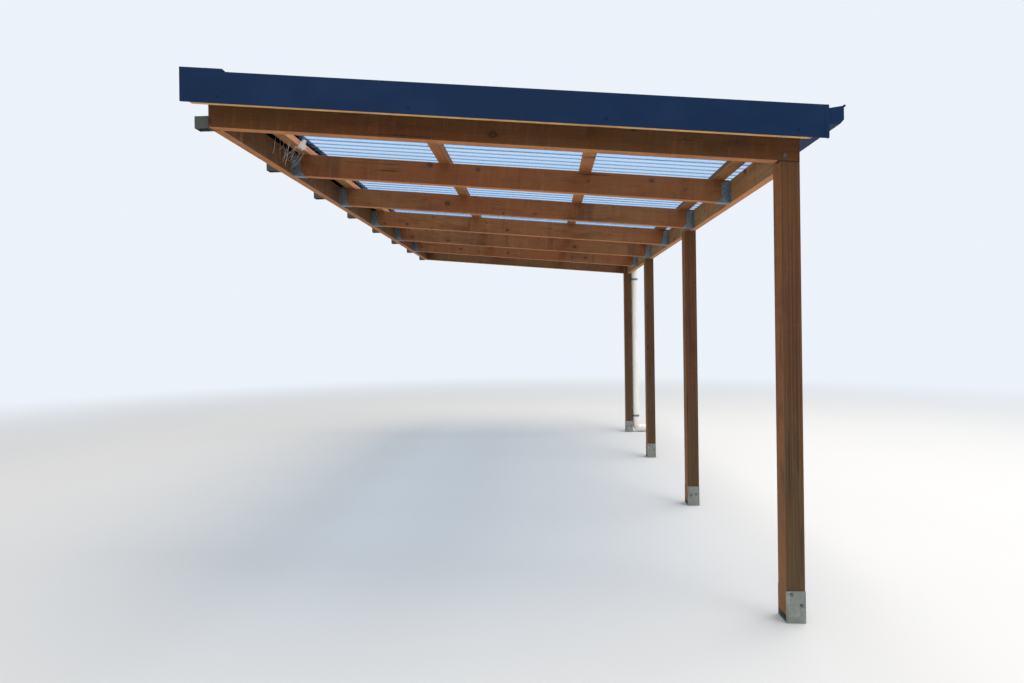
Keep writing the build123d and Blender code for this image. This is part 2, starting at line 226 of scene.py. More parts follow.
class Signal:
    """One number that runs through a material's nodes, so that shader maths reads as Python."""

    def __init__(self, finish, socket):
        self.finish = finish
        self.socket = socket

    def maths(self, operation, *others):
        """Math node of that operation, with this signal first."""
        values = dict(enumerate((self, *others)))
        return self.finish.signal("ShaderNodeMath", {"operation": operation}, values)

    def __add__(self, other):
        return self.maths("ADD", other)

    __radd__ = __add__

    def __sub__(self, other):
        return self.maths("SUBTRACT", other)

    def __rsub__(self, other):
        return self.maths("MULTIPLY_ADD", -1.0, other)

    def __mul__(self, other):
        return self.maths("MULTIPLY", other)

    __rmul__ = __mul__

    def __truediv__(self, other):
        return self.maths("DIVIDE", other)

    def __pow__(self, other):
        return self.maths("POWER", other)

    def __abs__(self):
        return self.maths("ABSOLUTE")

    def __mod__(self, other):
        return self.maths("FLOORED_MODULO", other)

    def lowest(self, other):
        """This or the other, whichever is lower."""
        return self.maths("MINIMUM", other)

    def highest(self, other):
        """This or the other, whichever is higher."""
        return self.maths("MAXIMUM", other)

    def floor(self):
        return self.maths("FLOOR")

    def sine(self):
        return self.maths("SINE")

    def rise(self, low, high):
        """0 below low, 1 above high, and smooth between them."""
        sockets = {"Value": self, "From Min": low, "From Max": high}
        return self.finish.signal("ShaderNodeMapRange", {"interpolation_type": "SMOOTHSTEP"}, sockets)


class Finish:
    """A material or a world under construction."""

    def __init__(self, name, library="materials"):
        self.made = getattr(bpy.data, library).new(name)
        self.made.use_nodes = True
        self.tree = self.made.node_tree
        self.tree.nodes.clear()

    @cached_property
    def place(self):
        """Object coordinates."""
        return self.node("ShaderNodeTexCoord").outputs["Object"]

    def node(self, kind, settings=None, sockets=None):
        """Node of that kind. Its settings come first, then its sockets, each a value or a link."""
        made = self.tree.nodes.new(kind)
        for name, value in (settings or {}).items():
            setattr(made, name, value)
        for key, value in (sockets or {}).items():
            source = value.socket if isinstance(value, Signal) else value
            if isinstance(source, bpy.types.NodeSocket):
                self.tree.links.new(source, made.inputs[key])
            else:
                made.inputs[key].default_value = source
        return made

    def signal(self, kind, settings=None, sockets=None, output=0):
        """Number that a node gives, ready for maths."""
        return Signal(self, self.node(kind, settings, sockets).outputs[output])

    def mark(self, name):
        """Number that the mesh keeps in the attribute of that name."""
        return Signal(self, self.node("ShaderNodeAttribute", {"attribute_name": name}).outputs["Fac"])

    def parts(self, vector):
        """The three parts of a vector as signals."""
        outputs = self.node("ShaderNodeSeparateXYZ", None, {0: vector}).outputs
        return [Signal(self, output) for output in outputs]

    def turned(self, vector, centre, turn):
        """Vector seen from a centre and along turned axes."""
        sockets = {"Vector": vector, "Location": centre, "Rotation": turn}
        return self.node("ShaderNodeMapping", {"vector_type": "TEXTURE"}, sockets).outputs[0]

    def stretched(self, vector, scale, shift=(0, 0, 0)):
        """Vector times a scale, then moved."""
        sockets = {"Vector": vector, "Scale": scale, "Location": shift}
        return self.node("ShaderNodeMapping", None, sockets).outputs[0]

    def noise(self, vector, scale, shift, detail=2.0, roughness=0.5):
        """Cloudy number about 0.5, with so many features to the metre along each axis."""
        sockets = {"Vector": self.stretched(vector, scale, shift), "Scale": 1.0}
        sockets.update({"Detail": detail, "Roughness": roughness})
        return self.signal("ShaderNodeTexNoise", None, sockets)

    def cloud(self, scale, shift, detail=2.0, roughness=0.5):
        """Noise on the object's own coordinates."""
        return self.noise(self.place, scale, shift, detail, roughness)

    def mix(self, share, first, second):
        """Colour between two colours, by a share from 0 to 1."""
        sockets = {0: share, 6: opaque(first), 7: opaque(second)}
        return self.node("ShaderNodeMix", {"data_type": "RGBA"}, sockets).outputs[2]

    def layered(self, colour, layers):
        """Colour under a pile of layers, each with its share and its own colour."""
        for share, over in layers:
            colour = self.mix(share, colour, over)
        return colour

    def shade(self, colour, factor):
        """Colour made lighter or darker by a number about 1."""
        grey = self.node("ShaderNodeCombineXYZ", None, {0: factor, 1: factor, 2: factor}).outputs[0]
        sockets = {0: colour, 1: grey}
        return self.node("ShaderNodeVectorMath", {"operation": "MULTIPLY"}, sockets).outputs[0]

    def bump(self, height, depth):
        """Normal of a surface that stands out by height times depth."""
        sockets = {"Height": height, "Distance": depth, "Strength": 1.0}
        return self.node("ShaderNodeBump", None, sockets).outputs[0]

    def surface(self, shade, roughness, relief=None, **others):
        """Principled shader. Relief is a height and its depth, and others are more sockets."""
        sockets = {"Base Color": shade, "Roughness": roughness}
        sockets.update({name.replace("_", " "): value for name, value in others.items()})
        if relief:
            sockets["Normal"] = self.bump(*relief)
        return self.node("ShaderNodeBsdfPrincipled", None, sockets).outputs[0]

    def coat(self, shade, roughness, relief=None, **others):
        """The material, with one such surface all over."""
        return self.finished(self.surface(shade, roughness, relief, **others))

    def blend(self, share, first, second):
        """Shader between two shaders, by a share from 0 to 1."""
        return self.node("ShaderNodeMixShader", None, {0: share, 1: first, 2: second}).outputs[0]

    def looked_at(self):
        """1 for light that the camera, gloss or glass sees, and 0 for all other light."""
        path = self.node("ShaderNodeLightPath").outputs
        camera = Signal(self, path["Is Camera Ray"])
        return camera.highest(path["Is Glossy Ray"]).highest(path["Is Transmission Ray"])

    def finished(self, shader, kind="ShaderNodeOutputMaterial"):
        """The material or world, with that shader on its output."""
        self.node(kind, None, {0: shader})
        return self.made


def times(colour, factor):
    """Each part of a colour times a factor."""
    return tuple(channel * factor for channel in colour)


def opaque(colour):
    """Colour with its fourth number, or a link as it is."""
    if isinstance(colour, (bpy.types.NodeSocket, Signal)):
        return colour
    return (*colour[:3], 1.0)


def box_of(node):
    """Lowest and highest corner of a node as arrays."""
    low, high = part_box(node)
    return np.array(low), np.array(high)


def middle_of(node):
    """Middle of a node's box."""
    low, high = box_of(node)
    return (low + high) / 2


class Timber:
    """One board or post: where it lies, which way its grain runs, and its section."""

    TURNS = {
        "fall": (0.0, FALL, 0.0),
        "across": (0.0, 0.0, math.pi / 2),
        "flat": (FALL, 0.0, math.pi / 2),
        "upright": (0.0, -math.pi / 2, 0.0),
    }

    # Shares of each mark by the way a timber runs. One share sets how much painted bounce light the bottom
    # face takes, or on a post its face towards the house. The arris share is partly worn stain and partly a
    # painted highlight.
    MARKS = {
        "fall": {"band": 0.05, "chalk": 0.08, "run": 0.42, "streak": 0.12, "clean_tone_and_bounce_light": 0.80, "arris": 0.34},
        "across": {"band": 0.24, "chalk": 0.26, "run": 0.36, "streak": 0.10, "clean_tone_and_bounce_light": 0.75, "arris": 0.35},
        "flat": {"band": 0.10, "chalk": 0.34, "run": 0.30, "streak": 0.25, "clean_tone_and_bounce_light": 0.20, "arris": 0.40},
        "upright": {"band": 0.0, "chalk": 0.06, "run": 0.0, "streak": 0.62, "clean_tone_and_bounce_light": 0.44, "arris": 0.10},
    }

    def __init__(self, node, run, section, stain, knot_share, seed):
        low, high = box_of(node)
        self.node = node
        self.run = run
        self.turn = self.TURNS[run]
        self.marks = self.MARKS[run]
        self.centre = tuple((low + high) / 2)
        axis = {"fall": 0, "across": 1, "flat": 1, "upright": 2}[run]
        self.half_length = (high - low)[axis] / 2
        self.half_width = section[0] / 2
        self.half_height = section[1] / 2
        self.stain = stain
        self.knot_share = knot_share
        # The barge boards and the first batten take a paler painted bounce light on their undersides.
        self.pale_bounce_below = node == "batten_1" or node.endswith("barge_board")
        self.seed = seed


def timbers(look):
    """All boards and posts, each with its own seed."""
    edge = (TIMBER_THICKNESS, TIMBER_DEPTH)
    flat = (BATTEN_WIDTH, BATTEN_THICKNESS)
    square = (POST_WIDTH, POST_WIDTH)
    rows = [("front_rafter", "fall", edge, look.front_stain, 0.30)]
    rows += [(name, "fall", edge, look.rafter_stain, 0.50) for name in INNER_RAFTERS]
    rows += [("rear_rafter", "fall", edge, look.front_stain, 0.40)]
    rows += [(f"{side}_barge_board", "fall", edge, look.rafter_stain, 0.3) for side in ("front", "rear")]
    rows += [("ledger", "across", edge, look.ledger_stain, 0.4)]
    rows += [("outer_beam", "across", edge, look.beam_stain, 0.4)]
    rows += [(f"batten_{n}", "flat", flat, look.batten_stain, 0.35) for n in BATTENS]
    rows += [(f"post_{n}", "upright", square, look.post_stain, 0.12) for n in POSTS]
    return [Timber(*row, seed) for seed, row in enumerate(rows, start=1)]


def knots(finish, local, timber, shift, radius):
    """Knots that run right through the timber's thickness.

    One point lies in each cell of a flat grid along the face. Its distance in metres, a little
    stretched along the grain and made uneven by noise, and two numbers of its own say whether
    a knot is there and how large it is.
    """
    cell = (0.23, 0.105, 1.0)
    x, _, z = finish.parts(local)
    face = finish.node("ShaderNodeCombineXYZ", None, {0: x, 1: z}).outputs[0]
    scaled = finish.stretched(face, [1 / size for size in cell], shift)
    sockets = {"Vector": scaled, "Scale": 1.0, "Randomness": 0.9}
    scattered = finish.node("ShaderNodeTexVoronoi", {"voronoi_dimensions": "2D"}, sockets)
    sockets = {0: scaled, 1: scattered.outputs["Position"]}
    offset = finish.node("ShaderNodeVectorMath", {"operation": "SUBTRACT"}, sockets).outputs[0]
    real = finish.stretched(offset, (cell[0] / 1.25, cell[1], 0.0))
    length = finish.node("ShaderNodeVectorMath", {"operation": "LENGTH"}, {0: real})
    uneven = finish.noise(local, (45, 45, 45), shift, 2.0, 0.6)
    distance = Signal(finish, length.outputs["Value"]) + (uneven - 0.5) * 0.012
    chance = finish.parts(scattered.outputs["Color"])
    size = radius * (0.22 + 0.78 * chance[1] ** 2.2)
    present = 1 - chance[0].rise(timber.knot_share, timber.knot_share + 0.02)
    return distance, size, present


def growth_rings(finish, local, timber, swell, look):
    """Late wood of the growth rings: the distance from a wandering pith, cut into ring widths."""
    random = np.random.default_rng(timber.seed)
    pith_y, pith_z = random.uniform(-0.05, 0.05), random.uniform(-0.09, 0.09)
    _, y, z = finish.parts(local)
    shift = tuple(random.uniform(-40, 40, 3))
    wander_y = (finish.noise(local, (1.1, 4, 4), shift) - 0.5) * 0.050
    wander_z = (finish.noise(local, (1.3, 5, 5), shift[::-1]) - 0.5) * 0.050
    across = y - pith_y + wander_y
    along = z - pith_z + wander_z
    radius = (across * across + along * along) ** 0.5 + swell
    ring = (radius / look.ring_width) % 1.0
    return ring.rise(0.30, 0.88) * (1 - ring.rise(0.93, 1.0))


def stained_pine(timber, look):
    """Rough-sawn pine under a worn red-brown stain.

    The grain is solid: growth rings, knots, fibres and saw marks are worked out along the
    timber's own axes, so each face and end shows the cut that it would have. The undersides,
    and the posts' faces towards the house, take painted bounce light: an orange that stands in
    for the light that a pale floor throws up. The first batten's edge towards the gutter takes
    painted sunlight, and the pale line along each arris is partly a painted highlight.
    """
    finish = Finish(f"stained_pine_{timber.node}")
    random = np.random.default_rng(STAIN_SEED + timber.seed)
    shift = [tuple(random.uniform(-60, 60, 3)) for _ in range(10)]
    tone = random.uniform(0.86, 1.12)
    local = finish.turned(finish.place, timber.centre, timber.turn)
    x, y, z = finish.parts(local)

    distance, size, present = knots(finish, local, timber, shift[0], look.knot_radius)
    reach = distance / size
    knot = (1 - reach.rise(0.80, 1.05)) * present
    rim = (1 - reach.rise(0.95, 1.20)) * reach.rise(0.55, 0.85) * present
    halo = (1 - reach.rise(0.9, 2.6)) * present
    late = growth_rings(finish, local, timber, halo * 0.010, look)
    fibre = finish.noise(local, (7, 150, 150), shift[1], 4.0, 0.62)
    fine = finish.noise(local, (30, 520, 520), shift[2], 2.0, 0.6)
    blotch = finish.noise(local, (2.6, 11, 11), shift[3], 5.0, 0.62)
    patch = finish.noise(local, (0.9, 4, 4), shift[4], 3.0, 0.5)
    saw = finish.noise(local, (230, 6, 6), shift[5], 3.0, 0.65)
    band = finish.noise(local, (26, 1.6, 1.6), shift[6], 3.0, 0.55)
    stain_run = finish.noise(local, (8, 1.1, 1.1), shift[8], 3.0, 0.6)
    chalk = finish.noise(local, (55, 9, 9), shift[9], 4.0, 0.65)
    crack = finish.noise(local, (1.6, 95, 95), shift[7], 2.0, 0.4)
    streak = finish.noise(local, (0.5, 190, 190), shift[3], 2.0, 0.62)

    stain = times(timber.stain, tone)
    red = (stain[0] * 1.02, stain[1] * 0.78, stain[2] * 0.62)
    deep = tuple(a * 0.50 + b * 0.30 for a, b in zip(stain, look.dark_grain))
    marks = timber.marks
    colour = finish.layered(stain, [
        (patch.rise(0.40, 0.62), red),
        (late * 0.42, deep),
        (fibre.rise(0.50, 0.78) * 0.50, look.dark_grain),
        (blotch.rise(0.52, 0.74) * 0.45, look.dark_grain),
        (streak.rise(0.50, 0.58) * marks["streak"], look.dark_grain),
        (stain_run.rise(0.56, 0.70) * marks["run"], look.dark_grain),
        (band.rise(0.54, 0.74) * marks["band"], look.worn_wood_and_highlight),
        (chalk.rise(0.57, 0.72) * marks["chalk"], look.worn_wood_and_highlight),
    ])
    if timber.run != "upright":
        colour = finish.shade(colour, 0.80 + 0.40 * saw)
    split = crack.rise(0.70, 0.74)
    colour = finish.layered(colour, [
        (halo * 0.30, look.dark_grain),
        (knot * 0.66, times(look.dark_grain, 1.1)),
        (rim * 0.62, times(look.dark_grain, 0.30)),
        (split * 0.75, OPEN_SEAM),
    ])

    # The masks below pick the faces that take painted bounce light: the underside, and on a post its face
    # towards the house.
    if timber.run == "upright":
        colour = laminations(finish, x, z, colour, look)
        bounce_face = z.rise(timber.half_height - SKIN_IN, timber.half_height - SKIN_OUT)
    else:
        bounce_face = 1 - z.rise(SKIN_OUT - timber.half_height, SKIN_IN - timber.half_height)
    below = look.pale_bounce_lit_wood if timber.pale_bounce_below else look.bounce_lit_wood
    # Painted bounce light: this orange, paler under the barge boards and the first batten, stands in for
    # the light that a pale floor throws up on these faces.
    clean_tone_and_bounce_light = finish.shade(finish.mix(fibre.rise(0.45, 0.75) * 0.5, below, stain), 0.72 + 0.5 * band)
    share = marks["clean_tone_and_bounce_light"]
    colour = finish.mix(bounce_face * (share - 0.6 * share * blotch.rise(0.5, 0.7)), colour, clean_tone_and_bounce_light)
    # Painted sunlight: the first batten's edge towards the gutter takes a salmon orange where the sun would
    # fall on it.
    if timber.node == "batten_1":
        edge = 1 - y.rise(SKIN_OUT - timber.half_width, SKIN_IN - timber.half_width)
        colour = finish.mix(edge * (0.85 - 0.4 * blotch.rise(0.5, 0.7)), colour, look.sunlit_batten_edge)
    # The pale line along each arris is partly worn stain and partly a painted highlight.
    to_arris = (timber.half_width - abs(y)) + (timber.half_height - abs(z))
    ragged = look.arris_wear_and_highlight * (0.45 + 1.3 * fibre)
    arris = 1 - (to_arris / ragged).rise(0.35, 1.0)
    colour = finish.mix(arris * marks["arris"], colour, look.worn_wood_and_highlight)
    end = abs(x).rise(timber.half_length - 0.0016, timber.half_length - SKIN_OUT)
    colour = finish.mix(end * 0.45, colour, look.dark_grain)
    if timber.node in ("front_rafter", "rear_rafter"):
        over_post = x.rise(timber.half_length - POST_WIDTH - 0.002, timber.half_length - POST_WIDTH)
        joint = over_post * (1 - z.rise(0.0030 - timber.half_height, 0.0050 - timber.half_height))
        colour = finish.mix(joint * 0.9, colour, OPEN_SEAM)

    height = late * 0.30 + fibre * 0.55 + fine * 0.35 + saw * 0.75 - split * 1.4 + knot * 0.25
    roughness = 0.60 + 0.22 * fibre + 0.10 * blotch - 0.12 * halo
    relief = (height, 0.0011)
    return finish.coat(colour, roughness.lowest(0.95), relief, Specular_IOR_Level=0.22)


def laminations(finish, x, z, colour, look):
    """Glue lines and changes of tone where the post's laminations meet.

    The depth across the post, plus a little noise, is cut into strips of one thickness, and
    each strip takes a tone from its own number. The head of the post stays redder, and its
    foot goes olive.
    """
    thickness = 0.033
    off_centre = 0.012
    across = z - off_centre
    strip = (across / thickness).floor()
    step = (strip * 12.9898).sine() * 43.7
    colour = finish.shade(colour, 0.80 + 0.32 * (step % 1.0))
    from_line = abs((across / thickness) % 1.0 - 0.5)
    line = from_line.rise(0.425, 0.465)
    head = x.rise(0.30, 1.00)
    foot = 1 - x.rise(-1.10, 0.10)
    olive = (0.062, 0.046, 0.020)
    return finish.layered(colour, [
        (line * 0.80, times(look.dark_grain, 0.7)),
        (head * 0.40, look.front_stain),
        (foot * 0.45, olive),
    ])


def coated_steel(name, colour, dust, apron_shade=None):
    """Baked coating on folded sheet: faint waves in the metal, dust and rain streaks.

    With a colour of painted shade, all that lies under the apron's sloping top takes that
    colour, but for the faces towards the house and at the two ends, so that the shade under the
    apron and on its leg is painted in. The height is read along axes turned by the roof's fall,
    and the change lies within the sheet's own thickness.
    """
    finish = Finish(name)
    waves = finish.cloud((2.2, 2.2, 5), (3, 1, 7), 1.0)
    grit = finish.cloud((260, 260, 260), (5, 2, 9), 2.0, 0.6)
    cloud = finish.cloud((3, 3, 6), (8, 4, 2), 4.0, 0.6)
    streak = finish.cloud((60, 60, 2.2), (1, 6, 3), 3.0, 0.6)
    smear = cloud.rise(0.46, 0.78) * 0.010 + streak.rise(0.60, 0.80) * 0.010 + grit.rise(0.62, 0.8) * 0.016
    faded = times(colour, 1.25)
    shade = finish.layered(colour, [(cloud.rise(0.35, 0.70) * 0.7, faded), (smear, dust)])
    # Painted shade: under the apron's sloping top, and on its leg towards the gutter, a near black stands
    # in for the shade there.
    if apron_shade is not None:
        low, high = box_of("apron_flashing")
        top = high[2] * math.cos(FALL) + low[0] * math.sin(FALL)
        above_slope = finish.parts(finish.turned(finish.place, (0, 0, 0), (0, FALL, 0)))[2]
        x, y, _ = finish.parts(finish.place)
        outer, inner = SHEET_THICKNESS / 4, SHEET_THICKNESS * 3 / 4
        apron_shade_mask = 1 - above_slope.rise(top - inner, top - outer)
        apron_shade_mask = apron_shade_mask * x.rise(low[0] + outer, low[0] + inner)
        apron_shade_mask = apron_shade_mask * y.rise(low[1] + outer, low[1] + inner)
        apron_shade_mask = apron_shade_mask * (1 - y.rise(high[1] - inner, high[1] - outer))
        shade = finish.mix(apron_shade_mask, shade, apron_shade)
        smear = smear + apron_shade_mask * 0.5
    height = waves * 0.4 + grit * 0.012
    roughness = 0.50 + 0.14 * cloud + 0.9 * smear
    relief = (height, 0.002)
    return finish.coat(shade, roughness.lowest(1.0), relief, Specular_IOR_Level=0.08)


def zinc(name, colour, metallic, dirt):
    """Galvanised steel: spangles, white bloom and dirt that gathers in streaks."""
    finish = Finish(name)
    crystals = finish.node("ShaderNodeTexVoronoi", None, {"Vector": finish.place, "Scale": 115.0})
    spangle = finish.parts(crystals.outputs["Color"])[0]
    bloom = finish.cloud((24, 24, 12), (2, 9, 4), 4.0, 0.65)
    grime = finish.cloud((45, 45, 9), (7, 3, 1), 4.0, 0.6)
    scratch = finish.cloud((500, 40, 500), (4, 4, 8), 2.0, 0.5)
    pale = tuple(min(1.0, channel * 1.45 + 0.05) for channel in colour)
    white = (0.42, 0.44, 0.44)
    earth = (0.060, 0.045, 0.032)
    shade = finish.layered(colour, [
        (spangle * 0.45, pale),
        (bloom.rise(0.52, 0.78) * 0.55, white),
        (grime.rise(0.50, 0.80) * dirt, earth),
    ])
    roughness = 0.36 + 0.20 * bloom + 0.14 * spangle + 0.25 * grime.rise(0.5, 0.8)
    relief = (spangle * 0.12 + scratch * 0.35 + grime * 0.4, 0.0004)
    return finish.coat(shade, roughness, relief, Metallic=metallic)


def painted_steel(name, colour):
    """Dark paint on steel, chipped and dusty."""
    finish = Finish(name)
    grit = finish.cloud((190, 190, 190), (1, 5, 2), 3.0, 0.6)
    cloud = finish.cloud((14, 14, 14), (6, 1, 8), 4.0, 0.6)
    rust = (0.16, 0.09, 0.05)
    shade = finish.layered(colour, [
        (cloud.rise(0.45, 0.75) * 0.55, times(colour, 2.2)),
        (grit.rise(0.66, 0.72) * 0.5, rust),
    ])
    return finish.coat(shade, 0.50 + 0.25 * cloud, (grit, 0.0003))


def gutter_plastic():
    """Off-white pipe with splashed dirt near the ground and faint scuffs."""
    finish = Finish("off_white_pipe")
    above_ground = finish.parts(finish.place)[2]
    cloud = finish.cloud((9, 9, 4), (2, 2, 5), 4.0, 0.6)
    streak = finish.cloud((70, 70, 3), (9, 1, 4), 3.0, 0.6)
    speck = finish.cloud((230, 230, 230), (3, 8, 6), 2.0, 0.6)
    low = 1 - above_ground.rise(0.02, 0.55)
    grime = streak.rise(0.50, 0.80) * 0.22 + low * cloud.rise(0.35, 0.7) * 0.40
    grime = grime + speck.rise(0.66, 0.74) * 0.25
    aged, clean_tone_and_bounce_light, earth = (0.64, 0.62, 0.58), (0.72, 0.71, 0.68), (0.26, 0.20, 0.15)
    shade = finish.layered(aged, [(cloud.rise(0.4, 0.7) * 0.5, clean_tone_and_bounce_light), (grime, earth)])
    relief = (cloud * 0.6 + speck * 0.08, 0.0006)
    return finish.coat(shade, 0.34 + 0.35 * grime + 0.08 * cloud, relief)


def closure_foam():
    """Dark open foam with pores, painted darker inside as shade in the recesses."""
    finish = Finish("closure_foam")
    pores = finish.node("ShaderNodeTexVoronoi", None, {"Vector": finish.place, "Scale": 420.0})
    pore = Signal(finish, pores.outputs["Distance"])
    cloud = finish.cloud((30, 30, 30), (4, 7, 1), 3.0, 0.6)
    deep, skin, dust = (0.012, 0.012, 0.013), (0.045, 0.045, 0.048), (0.16, 0.14, 0.11)
    # Painted shade: the pores' insides are darker than the cell walls, as shade in the recesses.
    shade = finish.layered(deep, [(pore.rise(0.2, 0.7), skin), (cloud.rise(0.55, 0.8) * 0.4, dust)])
    return finish.coat(shade, 0.92, (pore, 0.0008))


def clear_sheet(look):
    """Clear ribbed plastic: a tinted film that shows what is behind, under a dusty gloss.

    The haze gathers in the valleys, where the corrugation's height, kept in the mesh's
    rib_height attribute, is low, and runs in streaks down the fall. The darker valleys are
    partly dust and partly painted shade, stripes along the ribs that stand in for the way the
    light falls on their flanks. Where two sheets lap, which
    the lap attribute says, each film is thinner, so that the lap hardly shows. Below the
    apron and just beside it, where no light comes through, the haze goes.
    """
    finish = Finish("clear_corrugated_sheet")
    local = finish.turned(finish.place, (0, 0, 0), (0, FALL, 0))
    streak = finish.noise(local, (1.6, 55, 1), (2, 6, 1), 4.0, 0.6)
    cloud = finish.noise(local, (2.5, 5, 1), (7, 3, 5), 3.0, 0.6)
    speck = finish.noise(local, (160, 160, 1), (4, 1, 9), 2.0, 0.6)
    # Painted shade: the valleys take a darker haze, partly dust and partly stripes painted along the ribs
    # for the way the light falls on their flanks.
    valley = 1 - finish.mark("rib_height").rise(0.03, 0.34)
    dirt = valley * (0.08 + 0.09 * streak) + speck.rise(0.66, 0.74) * 0.02
    haze = look.haze_share * (0.72 + 0.56 * cloud) + 0.03 * streak.rise(0.5, 0.8) + dirt
    apron_edge = box_of("apron_flashing")[1][0]
    haze = haze * finish.parts(finish.place)[0].rise(apron_edge, apron_edge + 0.05)
    shade = finish.mix(valley, look.haze, look.valley_dust_and_shade)
    roughness = 0.38 + 0.25 * cloud.rise(0.4, 0.8) + dirt
    gloss = finish.surface(shade, roughness, (cloud, 0.0001), Specular_IOR_Level=0.15)
    thin = tuple(channel ** 0.55 for channel in look.tint)
    films = [
        finish.node("ShaderNodeBsdfTransparent", None, {0: opaque(tint)}).outputs[0]
        for tint in (look.tint, thin)
    ]
    return finish.finished(finish.blend(haze, finish.blend(finish.mark("lap"), *films), gloss))


def cobweb():
    """Dusty threads, nearly white."""
    finish = Finish("cobweb_threads")
    dust = finish.cloud((300, 300, 300), (1, 2, 3), 3.0, 0.6)
    shade = finish.mix(dust.rise(0.4, 0.7), (0.72, 0.70, 0.66), (0.88, 0.88, 0.87))
    return finish.coat(shade, 0.8, (dust, 0.0002))


def grid_quads(rows, columns, close_columns=False):
    """Corner numbers of the quads of a grid with so many rows and columns of points."""
    last = columns if close_columns else columns - 1
    row = np.arange(rows - 1)[:, None]
    column = np.arange(last)[None, :]
    following = (column + 1) % columns
    corners = [row * columns + column, row * columns + following]
    corners += [(row + 1) * columns + following, (row + 1) * columns + column]
    return np.stack(corners, axis=-1).reshape(-1, 4)


def piece(name, points, quads, material, smooth=True, merge=0.0):
    """New object of quads that rides on the frame. Points closer than merge become one."""
    mesh = bpy.data.meshes.new(name)
    mesh.from_pydata(points.tolist(), [], quads.tolist())
    if merge:
        body = bmesh.new()
        body.from_mesh(mesh)
        bmesh.ops.remove_doubles(body, verts=body.verts, dist=merge)
        bmesh.ops.recalc_face_normals(body, faces=body.faces)
        body.to_mesh(mesh)
        body.free()
    mesh.polygons.foreach_set("use_smooth", np.full(len(mesh.polygons), smooth))
    mesh.materials.append(material)
    mesh.update()
    made = bpy.data.objects.new(name, mesh)
    bpy.context.scene.collection.objects.link(made)
    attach(made, "root")
    return made


def turned_head(profile, sides=12):
    """Head of a fixing about +Z.

    Ring i stands at height h_i with radius r_i. Where its flats share f_i is 1 the radius is
    drawn in between the corners, so that the ring is a hexagon, and where it is 0 it is round.
    """
    rings = np.array(profile)
    angle = np.arange(sides) * 2 * np.pi / sides
    hexagon = math.cos(math.pi / 6) / np.cos(np.mod(angle, math.pi / 3) - math.pi / 6)
    share = rings[:, 2:3]
    radius = rings[:, 0:1] * (1 - share + share * hexagon[None, :])
    height = np.broadcast_to(rings[:, 1:2], radius.shape)
    points = np.stack([radius * np.cos(angle), radius * np.sin(angle), height], axis=-1)
    return points.reshape(-1, 3), grid_quads(len(rings), sides, True)


def facing(direction):
    """Axes of a fixing whose +Z looks in that direction, one to each column."""
    return np.array(Vector(direction).to_track_quat("Z", "Y").to_matrix())


def many(shape, places, direction):
    """Copies of one shape at many places, each turned to the same direction."""
    points, quads = shape
    places = np.array(places, float).reshape(-1, 3)
    turned = points @ facing(direction).T
    all_points = (places[:, None, :] + turned[None, :, :]).reshape(-1, 3)
    offsets = np.arange(len(places)) * len(points)
    all_quads = (offsets[:, None, None] + quads[None, :, :]).reshape(-1, 4)
    return all_points, all_quads


def on_both_ends(shape, places, front, rear, rear_shape=None):
    """A shape on a front face and on a rear face, at the same places (x, z)."""
    return [
        many(shape, [(x, front, z) for x, z in places], TO_FRONT),
        many(rear_shape or shape, [(x, rear, z) for x, z in places], TO_REAR),
    ]


def joined_piece(name, groups, material, smooth=False, merge=0.00001):
    """New object of several groups of points and quads."""
    points = np.concatenate([group[0] for group in groups])
    counts = np.cumsum([0] + [len(group[0]) for group in groups[:-1]])
    quads = np.concatenate([group[1] + start for group, start in zip(groups, counts)])
    return piece(name, points, quads, material, smooth, merge)


def hex_bolt(head, washer, height=None):
    """Washer, hexagon head with a chamfered crown, all as one turned profile."""
    height = head * 0.68 if height is None else height
    rim = min(washer * 0.13, height * 0.4)
    return turned_head([
        (0.0, 0.0, 0.0),
        (washer, 0.0, 0.0),
        (washer, rim, 0.0),
        (head, rim, 1.0),
        (head, rim + height * 0.82, 1.0),
        (head * 0.84, rim + height, 0.0),
        (0.0, rim + height, 0.0),
    ])


def bolt_with_nut(nut, washer, stub):
    """Washer, nut and the end of the bolt that stands out of it."""
    rim = washer * 0.13
    height = nut * 0.85
    return turned_head([
        (0.0, 0.0, 0.0),
        (washer, 0.0, 0.0),
        (washer, rim, 0.0),
        (nut * 0.86, rim, 0.0),
        (nut, rim + height * 0.12, 1.0),
        (nut, rim + height * 0.88, 1.0),
        (nut * 0.86, rim + height, 0.0),
        (nut * 0.52, rim + height, 0.0),
        (nut * 0.52, rim + height + stub * 0.85, 0.0),
        (nut * 0.40, rim + height + stub, 0.0),
        (0.0, rim + height + stub, 0.0),
    ])


def dome_head(radius, height):
    """Low round head: the radius falls as a cosine while the height rises as a sine."""
    turn = np.linspace(0, math.pi / 2, 5)
    rings = [(radius * math.cos(a), height * math.sin(a), 0.0) for a in turn[:-1]]
    return turned_head([(0.0, 0.0, 0.0), *rings, (0.0, height, 0.0)], sides=10)


def roof_screw(head, washer):
    """Domed washer that seals on the crest, with a hexagon head on it."""
    return turned_head([
        (0.0, -0.0004, 0.0),
        (washer, -0.0004, 0.0),
        (washer, 0.0010, 0.0),
        (washer * 0.62, 0.0030, 0.0),
        (head * 1.15, 0.0034, 0.0),
        (head, 0.0036, 1.0),
        (head, 0.0074, 1.0),
        (head * 0.80, 0.0080, 0.0),
        (0.0, 0.0080, 0.0),
    ])


def rafter_middles():
    """Y of each rafter's middle, from the front."""
    return [middle_of(name)[1] for name in ("front_rafter", *INNER_RAFTERS, "rear_rafter")]


def count_sheets():
    """How many roof sheets the frame has."""
    return sum(name.startswith("roof_sheet_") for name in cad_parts)


def underside_height(x):
    """Height of the line along the rafters' undersides at x."""
    low, high = box_of("front_rafter")
    return low[2] + (high[0] - x) * math.tan(FALL)


